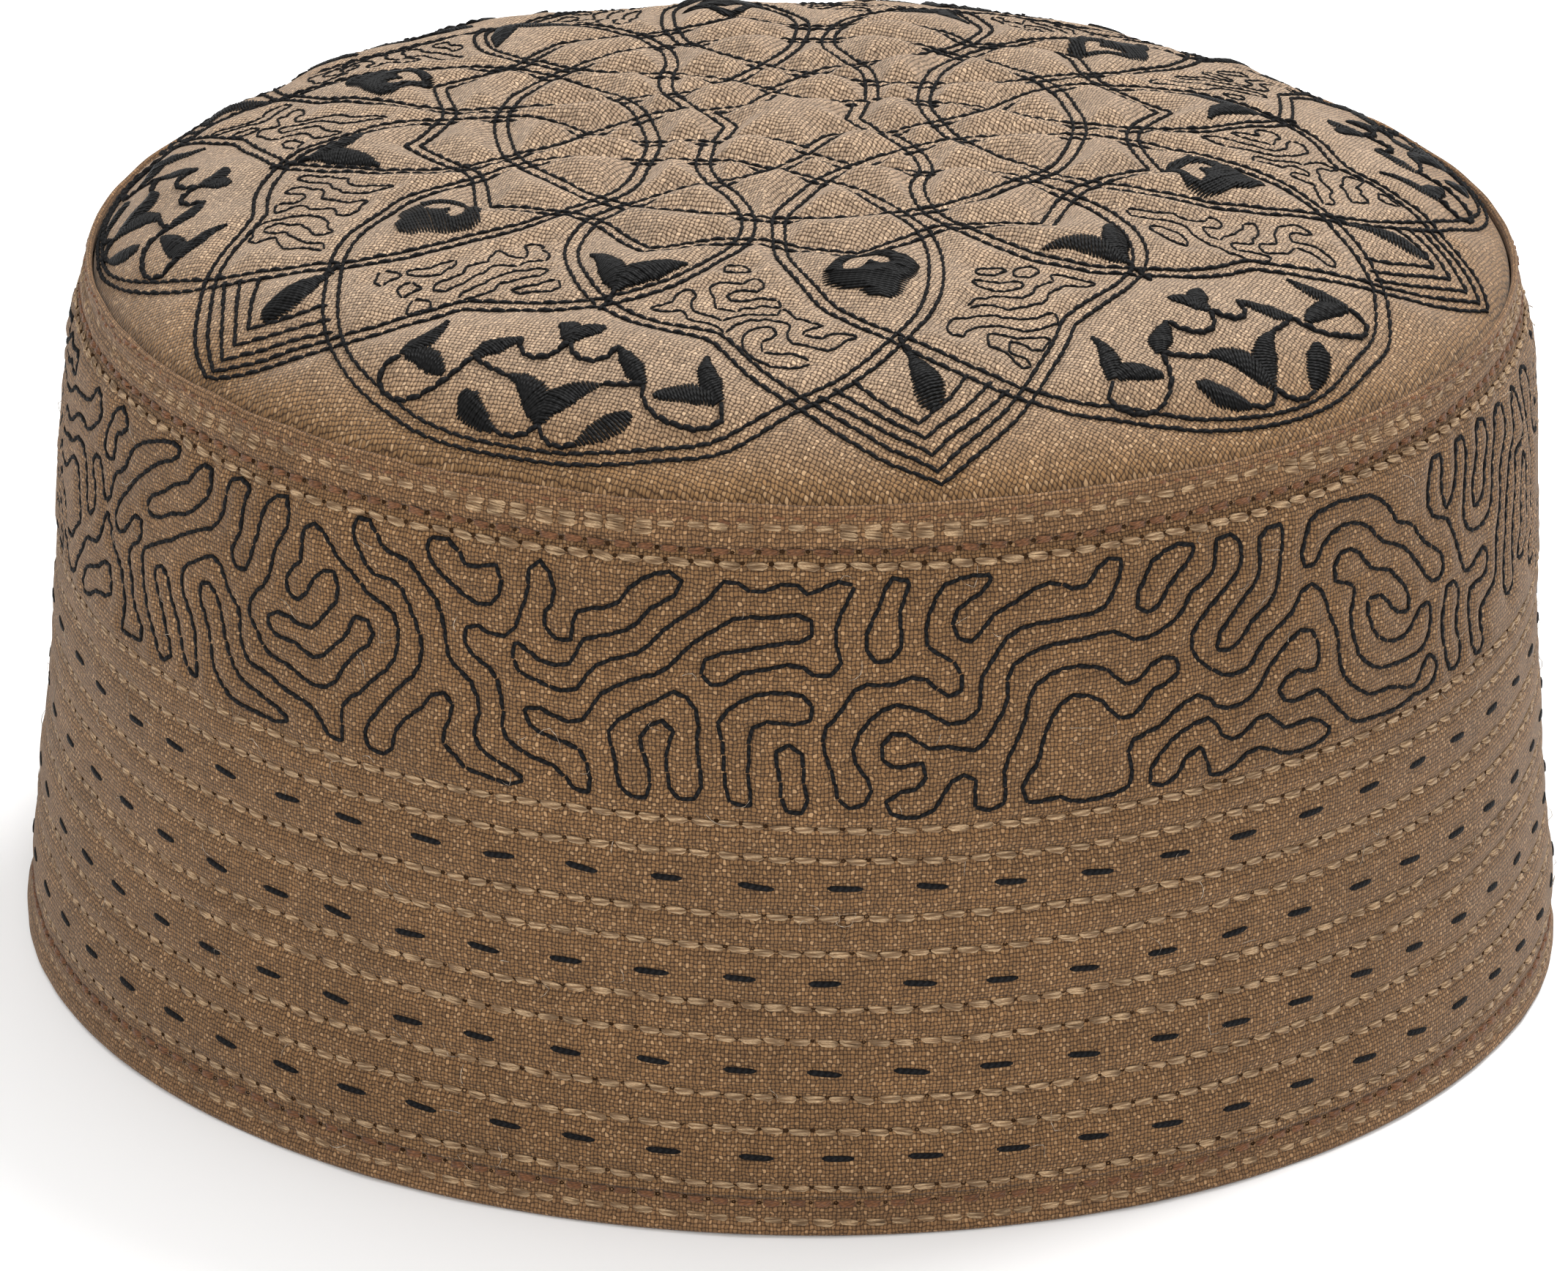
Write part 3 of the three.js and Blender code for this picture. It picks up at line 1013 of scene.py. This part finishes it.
def crown_stems():
    stems = []
    for sixth in range(SIXTHS):
        for charts, medallion in ((TIP_STEMS, False), (MEDALLION_STEMS, True)):
            stems += [(plant_places(curve_through(chart), sixth, medallion), False) for chart in charts]
    return stems


# Stitch rows of the side

def row_marks(share, pitch, seed):
    """Even places round a row: distances round, heights and the step between them."""
    count = int(round(math.tau * float(side_radius(share * SIDE_HEIGHT)) / pitch))
    step = SIDE_TURN / count
    along = -SIDE_TURN / 2 + (np.arange(count) + random.uniform(-0.07, 0.07, count)) * step
    height = share * SIDE_HEIGHT + row_wander(along / MIDDLE_RADIUS, share, seed)
    return along, height + random.uniform(-0.06, 0.06, count), step


def pressed_in(along):
    """How far stitches are pressed into the cloth: most on the cap's left side, seen from the front."""
    return bell(along / MIDDLE_RADIUS + 1.2, 0.55)


def pits_between(along, height, step, size):
    return np.column_stack([along + step / 2, height, np.full(len(along), size)])


def tan_stitches(name, surface, rows):
    """Plied stitches, each of three strands side by side, and the places of the needle holes."""
    starts, ends, sizes, lifts, bows, pits = [], [], [], [], [], []
    for index, (row, share) in enumerate(TAN_ROWS.items()):
        if row not in rows:
            continue
        along, height, step = row_marks(share, TAN_PITCH, index)
        layers = [(0.0, np.ones(len(along), bool))]
        if row == "seam":
            doubled = waves(np.column_stack([along, along]), 60, 88) > 0.5
            layers = [(0.2, np.ones(len(along), bool)), (-0.55, doubled)]
        for shift, shown in layers:
            along_shown = along[shown] + random.uniform(-0.12, 0.12, shown.sum())
            height_shown = height[shown] + shift
            tilt = random.normal(0.12, 0.07, shown.sum())
            half = step * random.uniform(0.45, 0.5, shown.sum())
            pressed = pressed_in(along_shown)
            count = len(along_shown)
            for ply in (1, 0, -1):
                jitter = random.normal(0, 0.03, (2, count))
                bows.append(0.24 * ply + random.normal(0.0, 0.04, count))
                start_height = height_shown + tilt + 0.03 * ply + jitter[0]
                end_height = height_shown - tilt + 0.07 * ply + jitter[1]
                starts.append(np.column_stack([along_shown - half, start_height]))
                ends.append(np.column_stack([along_shown + half, end_height]))
                sizes.append(random.uniform(0.17, 0.22, count) * (1 - 0.1 * pressed))
                lifts.append(random.uniform(0.8, 1.5, count) * (1 - 0.8 * pressed))
        pits.append(pits_between(along, height + 0.14, step, 0.31))
    made = side_threads(name, surface, np.vstack(starts), np.vstack(ends), np.concatenate(sizes),
                        np.concatenate(lifts), np.concatenate(bows), fatness=(0.4, 1.05, 1.05, 0.4))
    return made, np.vstack(pits)


def rust_stitches(surface):
    """The rust rows and the loose whipping over the seam, and the places of the needle holes."""
    starts, ends, pits = [], [], []
    for index, share in enumerate(RUST_ROWS.values()):
        along, height, step = row_marks(share, RUST_PITCH, RUST_SEED + index)
        half = step * random.uniform(0.33, 0.4, len(along))
        for ply in (0.2, -0.2, 0.0):
            tilt = random.normal(0.0, 0.08, len(along))
            starts.append(np.column_stack([along - half, height + tilt + ply]))
            ends.append(np.column_stack([along + half, height - tilt + ply]))
        pits.append(pits_between(along, height, step, 0.29))
    along, level, _ = row_marks(WHIP_ROW, WHIP_PITCH, 90)
    count = len(along)
    length = random.uniform(0.7, 1.9, count)
    level = level + random.uniform(-0.45, 0.35, count)
    starts.append(np.column_stack([along - length / 2, level]))
    ends.append(np.column_stack([along + length / 2, level + random.normal(0, 0.18, count)]))
    starts, ends = np.vstack(starts), np.vstack(ends)
    made = side_threads("rust_stitches", surface, starts, ends, random.uniform(0.17, 0.23, len(starts)),
                        random.uniform(0.9, 1.6, len(starts)), fatness=(0.5, 1.0, 1.0, 0.5))
    return made, np.vstack(pits)


def needle_pits(surface, places):
    """Small dents where the needle went through, coloured near black as painted shade inside the holes."""
    sides = 5
    count = len(places)
    size = places[:, 2:] * random.uniform(0.85, 1.15, (count, 1))
    places = places[:, :2] + random.uniform(-0.08, 0.08, (count, 2))
    angle = places[:, 0] / MIDDLE_RADIUS
    centre = surface.points_at(places)
    normal = surface.normals_at(places)
    along = np.column_stack([np.cos(angle), np.sin(angle), np.zeros(count)])
    up = np.cross(normal, along)
    points = [centre + 0.02 * normal, centre - 0.5 * normal]
    for side in range(sides):
        turn = math.tau * side / sides
        points.append(centre + size * (math.cos(turn) * along + 0.85 * math.sin(turn) * up) + 0.1 * normal)
    base = (np.arange(count) * (sides + 2))[:, None]
    triangles = []
    for side in range(sides):
        here, following = 2 + side, 2 + (side + 1) % sides
        triangles.append(base + np.array([[0, here, following]]))
        triangles.append(base + np.array([[1, following, here]]))
    return mesh_object("needle_pits", np.stack(points, 1).reshape(-1, 3), [np.vstack(triangles)])


def make_dashes(surface):
    """Long black stitches between the tan rows, each of three strands side by side."""
    starts, ends, sizes, lifts = [], [], [], []
    for index, (share, count, phase) in enumerate(DASH_ROWS):
        shift = phase + random.uniform(-0.05, 0.05, count)
        along = -SIDE_TURN / 2 + (np.arange(count) + shift) * SIDE_TURN / count
        height = share * SIDE_HEIGHT + row_wander(along / MIDDLE_RADIUS, share, 20 + index)
        height = height + random.uniform(-0.15, 0.15, count)
        half = random.uniform(1.75, 2.0, count)
        tilt = random.normal(0.08, 0.08, count)
        for ply, size in ((0.16, 0.27), (-0.14, 0.25), (0.02, 0.3)):
            reach = half * (1 - abs(ply))
            starts.append(np.column_stack([along - reach, height + tilt + ply]))
            ends.append(np.column_stack([along + reach, height - tilt + ply * 0.7]))
            sizes.append(np.full(count, size))
            lifts.append(0.05 - 0.2 * pressed_in(along))
    return side_threads("dash_stitches", surface, np.vstack(starts), np.vstack(ends), np.concatenate(sizes),
                        np.concatenate(lifts), fatness=(0.6, 1.0, 1.0, 1.0, 0.6))


def loose_fibres(surface, count):
    """Fine stray fibres on the side, each a thin arch with a curl."""
    along = random.uniform(-math.pi, math.pi, count) * MIDDLE_RADIUS
    places = np.column_stack([along, random.uniform(0.03, 0.93, count) * SIDE_HEIGHT])
    heading = random.uniform(0, math.tau, count)
    length = random.uniform(0.8, 3.2, count)[:, None]
    way = on_circle(heading)
    curl = left_of(way) * random.normal(0, 0.45, (count, 1))

    def path(share):
        return surface.points_at(places + length * (share * way + math.sin(math.pi * share) * curl))

    return strands("loose_fibres", path, surface.normals_at(places), random.uniform(0.03, 0.05, count),
                   random.uniform(3, 14, count), 3, (1.0, 1.0, 1.0, 1.0, 1.0, 0.9, 0.7))


# Materials

class Sums:
    """Short forms for the nodes of a material or a world."""

    def __init__(self, tree):
        self.nodes, self.links = tree.nodes, tree.links

    def plug(self, value, socket):
        if isinstance(value, (int, float)):
            socket.default_value = value
        elif isinstance(value, tuple):
            socket.default_value = (*value, 1.0)
        else:
            self.links.new(value, socket)

    def fill(self, node, inputs):
        for name, value in inputs.items():
            self.plug(value, node.inputs[name])

    def node(self, kind, *values):
        made = self.nodes.new("ShaderNode" + kind)
        for value, socket in zip(values, made.inputs):
            self.plug(value, socket)
        return made

    def math(self, operation, *values):
        node = self.node("Math", *values)
        node.operation = operation
        return node.outputs[0]

    def plus(self, a, b):
        return self.math("ADD", a, b)

    def times(self, a, b):
        return self.math("MULTIPLY", a, b)

    def turned(self, x, y, share_x, share_y):
        return self.plus(self.times(x, share_x), self.times(y, share_y))

    def places(self, kind):
        return self.node("TexCoord").outputs[kind]

    def parts(self, vector):
        return self.node("SeparateXYZ", vector).outputs

    def vector(self, *values):
        return self.node("CombineXYZ", *values).outputs[0]

    def noise(self, place, scale, detail=2.0, roughness=0.5):
        node = self.node("TexNoise")
        self.fill(node, {"Vector": place, "Scale": scale, "Detail": detail, "Roughness": roughness})
        return node.outputs["Fac"]

    def drift(self, place, scale, detail, amount):
        return self.times(self.math("SUBTRACT", self.noise(place, scale, detail), 0.5), amount)

    def chance(self, *values):
        node = self.node("TexWhiteNoise")
        node.noise_dimensions = "2D"
        self.fill(node, {"Vector": self.vector(*values)})
        return node.outputs["Value"]

    def spread(self, value, low, high, start=0.0, end=1.0):
        return self.node("MapRange", value, low, high, start, end).outputs["Result"]

    def blend(self, share, first, second, mode="MIX"):
        node = self.node("Mix")
        node.data_type = "RGBA"
        node.blend_type = mode
        for value, index in ((share, 0), (first, 6), (second, 7)):
            self.plug(value, node.inputs[index])
        return node.outputs[2]

    def toned(self, colour, tone):
        return self.blend(1.0, colour, self.vector(tone, tone, tone), "MULTIPLY")

    def bump(self, height, strength, depth):
        node = self.node("Bump")
        self.fill(node, {"Strength": strength, "Distance": depth * MM, "Height": height})
        return node.outputs["Normal"]


def new_material(name):
    """A new material, its shader and the short forms for its nodes."""
    material = bpy.data.materials.new(name)
    material.use_nodes = True
    tree = material.node_tree
    return material, tree.nodes["Principled BSDF"], Sums(tree)


SIDE_THREAD_PITCH = (0.41, 0.46)
CROWN_THREAD_PITCH = (0.46, 0.46)
CROWN_GRAIN = math.radians(-22)
# The crown's cloth is painted paler between these heights over its seam: painted sheen of the light from
# above on its upper part
PAINTED_SHEEN_FROM = 1.5
PAINTED_SHEEN_TO = 8.5
PAINTED_SHEEN_SHARE = 0.4
PAINTED_SHEEN_COLOUR = (0.56, 0.44, 0.33)

# Cloth colours: warp, weft, flecks and the gaps between threads, whose dark colour is painted shade
CROWN_COLOURS = [(0.255, 0.144, 0.063), (0.212, 0.116, 0.048), (0.45, 0.31, 0.18), (0.04, 0.019, 0.008)]
SIDE_COLOURS = [(0.218, 0.118, 0.050), (0.165, 0.086, 0.035), (0.385, 0.25, 0.136), (0.034, 0.016, 0.007)]
FOLD_COLOURS = [(0.23, 0.125, 0.057), (0.172, 0.091, 0.039), (0.375, 0.235, 0.122), (0.045, 0.022, 0.010)]


def cloth_material(name, colours, sheen, wrapped):
    """Plain-weave wool, wrapped round the side or laid over the crown. Over the crown its upper part is
    painted paler as painted sheen, and the gaps between its threads are darkened as painted shade.
    """
    warp, weft, fleck, gap = colours
    material, shader, sums = new_material(name)
    place = sums.places("Object")
    x, y, z = sums.parts(place)
    u, v, _ = sums.parts(sums.places("UV"))
    if wrapped:
        across = sums.times(sums.math("ARCTAN2", x, sums.times(y, -1.0)), MIDDLE_RADIUS)
        along = v
    else:
        across = sums.turned(u, v, math.cos(CROWN_GRAIN), math.sin(CROWN_GRAIN))
        along = sums.turned(u, v, -math.sin(CROWN_GRAIN), math.cos(CROWN_GRAIN))
    column_pitch, row_pitch = SIDE_THREAD_PITCH if wrapped else CROWN_THREAD_PITCH
    flat = sums.vector(across, along)
    drift = sums.drift(flat, 0.35, 3.0, 0.5)
    drift_up = sums.drift(sums.vector(along, across), 0.3, 3.0, 0.5)
    across = sums.plus(across, drift)
    along = sums.plus(along, drift_up)
    slub = sums.drift(flat, 1.1, 1.0, 1.1)
    slub_up = sums.drift(sums.vector(along, across), 1.3, 1.0, 1.1)
    column = sums.plus(sums.math("DIVIDE", across, column_pitch), slub)
    row = sums.plus(sums.math("DIVIDE", along, row_pitch), slub_up)
    wave = sums.times(sums.math("SINE", sums.times(column, math.pi)),
                      sums.math("SINE", sums.times(row, math.pi)))
    bulge = sums.math("POWER", sums.math("ABSOLUTE", wave), 0.6)
    warp_up = sums.spread(wave, -0.12, 0.12)
    column_index = sums.math("FLOOR", column)
    row_index = sums.math("FLOOR", row)
    cell_chance = sums.chance(column_index, row_index)
    thread = sums.blend(warp_up, sums.chance(7.0, row_index), sums.chance(column_index, 3.0))
    tone = sums.plus(sums.times(thread, 0.3), 0.84)
    tone = sums.times(tone, sums.plus(sums.times(cell_chance, 0.4), 0.8))
    cloud = sums.noise(place, 60.0, 3.0, 0.6)
    tone = sums.times(tone, sums.spread(cloud, 0.3, 0.7, 0.92, 1.08))
    colour = sums.blend(warp_up, weft, warp)
    flecked = sums.spread(cell_chance, 0.55, 1.0, 0.0, 0.45)
    colour = sums.blend(sums.times(flecked, warp_up), colour, fleck)
    # Painted sheen: over the crown, the upper part is blended toward a pale colour for the light from
    # above.
    if not wrapped:
        sheen_height_share = sums.spread(z, (SIDE_HEIGHT + PAINTED_SHEEN_FROM) * MM, (SIDE_HEIGHT + PAINTED_SHEEN_TO) * MM)
        colour = sums.blend(sums.times(sheen_height_share, PAINTED_SHEEN_SHARE), colour, PAINTED_SHEEN_COLOUR)
    # Painted shade: the gaps between the threads are darkened.
    colour = sums.blend(sums.spread(bulge, 0.15, 0.75), gap, colour)
    fuzz = sums.noise(sums.vector(column, row), 1.6)
    sums.fill(shader, {
        "Base Color": sums.toned(colour, tone),
        "Normal": sums.bump(sums.plus(bulge, sums.times(fuzz, 0.35)), 0.75, 0.09),
        "Roughness": 0.88,
        "Specular IOR Level": 0.25,
        "Sheen Weight": sheen,
        "Sheen Roughness": 0.4,
        "Sheen Tint": (1.0, 0.92, 0.84),
    })
    return material


def thread_material(name, dark, light, roughness, sheen, gloss, twist=1.4):
    """Twisted thread: slanting lines of fibre along each strand, painted light on their crests as painted
    highlight and dark between them as painted shade.
    """
    material, shader, sums = new_material(name)
    u, v, _ = sums.parts(sums.places("UV"))
    slope = sums.turned(u, v, twist, 2.0)
    ridge = sums.spread(sums.math("SINE", sums.times(slope, math.tau)), -1.0, 1.0)
    fibre = sums.noise(sums.vector(sums.times(u, 1.5), sums.times(v, 9.0)), 2.0, 3.0, 0.7)
    # Painted highlight on the crests of the twist and painted shade in the grooves between them, with some
    # real variation of the fibres.
    colour = sums.blend(sums.times(ridge, sums.spread(fibre, 0.3, 0.7)), dark, light)
    tone = sums.spread(sums.noise(sums.places("Object"), 420.0, 1.0), 0.35, 0.65, 0.82, 1.12)
    sums.fill(shader, {
        "Base Color": sums.toned(colour, tone),
        "Normal": sums.bump(sums.plus(ridge, sums.times(fibre, 0.8)), 0.7, 0.08),
        "Roughness": roughness,
        "Specular IOR Level": gloss,
        "Sheen Weight": sheen,
    })
    return material


def pit_shade_material():
    material, shader, sums = new_material("needle_pit")
    share = sums.noise(sums.places("Object"), 900.0)
    # Near black: painted shade inside the needle holes.
    colour = sums.blend(share, (0.012, 0.006, 0.003), (0.05, 0.026, 0.013))
    sums.fill(shader, {"Base Color": colour, "Roughness": 1.0, "Specular IOR Level": 0.0})
    return material


def dress(piece, material, slot, *nodes):
    piece.data.materials.append(material)
    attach(piece, "root")
    if nodes:
        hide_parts(*nodes)
    return piece


def on_cloth(lines):
    return [(on_crown(hand_drawn(line, 701, 0.28)), closed) for line, closed in lines]


def build_cap():
    straps, fine = rosette()
    straps, fine = on_cloth(straps), on_cloth(fine)
    maze = make_maze()
    crown = CrownSurface(straps + fine)
    side = SideSurface(maze)

    crown_wool = cloth_material("crown_wool", CROWN_COLOURS, sheen=0.2, wrapped=False)
    side_wool = cloth_material("side_wool", SIDE_COLOURS, sheen=0.12, wrapped=True)
    fold_wool = cloth_material("fold_wool", FOLD_COLOURS, sheen=0.1, wrapped=True)
    black = thread_material("black_cotton", (0.004, 0.004, 0.0045), (0.02, 0.019, 0.019), 0.75, 0.0, 0.08)
    glossy = thread_material("black_satin", (0.002, 0.002, 0.002), (0.009, 0.0085, 0.0085), 0.45, 0.0, 0.1)
    tan = thread_material("tan_cotton", (0.155, 0.088, 0.042), (0.63, 0.44, 0.255), 0.65, 0.05, 0.2, 0.35)
    lint = thread_material("loose_fibre", (0.35, 0.26, 0.18), (0.75, 0.66, 0.55), 0.6, 0.0, 0.3)
    rust = thread_material("rust_cotton", (0.11, 0.045, 0.018), (0.24, 0.105, 0.045), 0.75, 0.1, 0.2)

    crown_cloth = dress(make_crown(crown), crown_wool, "crown_cloth", "crown_panel")
    side_cloth = dress(make_side_band(side), side_wool, "side_cloth", "side_band")
    dress(make_seam_strip(side), fold_wool, "strip_cloth", "seam_strip")
    dress(make_hem_strip(side), fold_wool, "strip_cloth", "hem_strip")

    dress(crown_stitches("strap_stitches", crown, straps, **STRAP_STITCH), black, "black_thread")
    dress(crown_stitches("fill_stitches", crown, fine, **FILL_STITCH), black, "black_thread")
    dress(crown_stitches("stem_stitches", crown, crown_stems(), **STEM_STITCH), black, "black_thread")
    dress(crown_leaves(crown), glossy, "black_thread")

    starts, ends = stitched([(line, True) for line in maze], 1.7, 0.07, 0.22)
    radii = random.uniform(0.28, 0.33, len(starts))
    maze_thread = side_threads("maze_stitches", side, starts, ends, radii, 0.35)
    dress(maze_thread, black, "black_thread")
    dress(make_dashes(side), black, "black_thread")

    upper, upper_pits = tan_stitches("upper_tan_stitches", side, list(TAN_ROWS)[:6])
    lower, lower_pits = tan_stitches("lower_tan_stitches", side, list(TAN_ROWS)[6:])
    rust_rows, rust_pits = rust_stitches(side)
    dress(upper, tan, "tan_thread")
    dress(loose_fibres(side, 260), lint, "tan_thread")
    dress(lower, tan, "tan_thread")
    dress(rust_rows, rust, "rust_thread")
    dress(needle_pits(side, np.vstack([upper_pits, lower_pits, rust_pits])), pit_shade_material(), "side_cloth")


# Stage, light and camera

CAP_MIDDLE = (0.0, 0.0, 0.05)
HORIZON_LIGHT = 0.4
ZENITH_LIGHT = 1.26
DIMMER_RIGHT = -0.12


def add_stage():
    half = 3.0
    mesh = bpy.data.meshes.new("floor")
    corners = [(-half, -half, 0), (half, -half, 0), (half, half, 0), (-half, half, 0)]
    mesh.from_pydata(corners, [], [(0, 1, 2, 3)])
    material, shader, sums = new_material("pale_floor")
    sums.fill(shader, {"Base Color": (0.95, 0.95, 0.95), "Roughness": 0.9})
    mesh.materials.append(material)
    added("floor", mesh)


def add_area_light(name, place, size, power):
    light = bpy.data.lights.new(name, "AREA")
    light.shape = "DISK"
    light.size = size
    light.energy = power
    made = added(name, light)
    made.location = place
    made.rotation_euler = (Vector(CAP_MIDDLE) - Vector(place)).to_track_quat("-Z", "Y").to_euler()


def add_light():
    world = bpy.data.worlds.new("studio")
    world.use_nodes = True
    sums = Sums(world.node_tree)
    x, _, z = sums.parts(sums.places("Generated"))
    strength = sums.plus(sums.spread(z, 0.0, 1.0, HORIZON_LIGHT, ZENITH_LIGHT), sums.times(x, DIMMER_RIGHT))
    sums.fill(world.node_tree.nodes["Background"], {"Color": (1.0, 1.0, 1.0), "Strength": strength})
    bpy.context.scene.world = world
    add_area_light("key", (0.38, 0.4, 1.05), 0.6, 12.4)
    add_area_light("front_fill", (-0.05, -1.15, 0.6), 0.6, 6.2)


# The camera stands in front of the cap and looks down at it, at the photograph's angle
CAMERA_DISTANCE = 0.6169
CAMERA_HEIGHT = 0.2891
CAMERA_PITCH = 0.3950
CAMERA_ROLL = 0.0163
CAMERA_YAW = 0.0021
LENS_PER_WIDTH = 7737 / 2141
SENSOR_WIDTH = 36.0


def add_camera():
    camera = bpy.data.cameras.new("camera")
    camera.sensor_fit = "HORIZONTAL"
    camera.sensor_width = SENSOR_WIDTH
    camera.lens = SENSOR_WIDTH * LENS_PER_WIDTH
    camera.clip_start = 0.01
    made = added("camera", camera)
    turn = Matrix.Rotation(CAMERA_YAW, 4, "Z")
    look = Matrix.Rotation(math.pi / 2 - CAMERA_PITCH, 4, "X")
    roll = Matrix.Rotation(CAMERA_ROLL, 4, "Z")
    made.matrix_world = Matrix.Translation((0, -CAMERA_DISTANCE, CAMERA_HEIGHT)) @ turn @ look @ roll
    bpy.context.scene.camera = made


add_camera()
add_stage()
add_light()
build_cap()
bpy.context.scene.view_settings.view_transform = "Standard"
